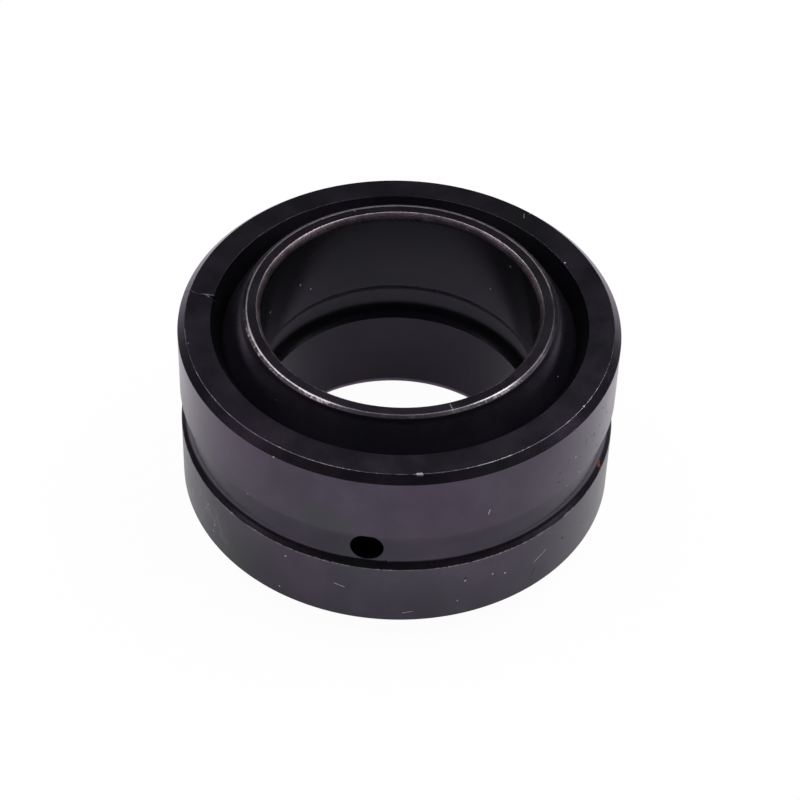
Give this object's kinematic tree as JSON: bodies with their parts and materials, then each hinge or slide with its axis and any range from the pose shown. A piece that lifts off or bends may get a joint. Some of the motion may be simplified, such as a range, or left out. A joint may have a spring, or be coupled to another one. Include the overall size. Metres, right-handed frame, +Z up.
{
  "type": "spherical plain bearing",
  "caption": "Radial spherical plain bearing: a ball-shaped inner ring with a cylindrical bore swivels inside a grooved, split outer ring.",
  "frame": {"origin": "centre of the ball surface, half-way along the bore", "axes": "+Z up along the bore axis; -Y to the front, with one hole of the outer ring 7 degrees to the left of it, towards -X; the part stands on the inner ring's lower face"},
  "size_m": [0.081, 0.081, 0.0444],
  "materials": {
    "outer_ring": "phosphated bearing steel, dark grey with a satin sheen",
    "inner_ring": "phosphated bearing steel, dark grey, bright along its worn edges"
  },
  "bodies": {
    "outer_ring": {"outer_ring": "outer_ring"},
    "inner_ring": {"inner_ring": "inner_ring"}
  },
  "joints": [
    {"name": "swivel", "type": "hinge", "parent": "outer_ring", "child": "inner_ring", "pos_m": [0, 0, 0], "axis": [0, 1, 0], "range_deg": [-6, 6]}
  ]
}
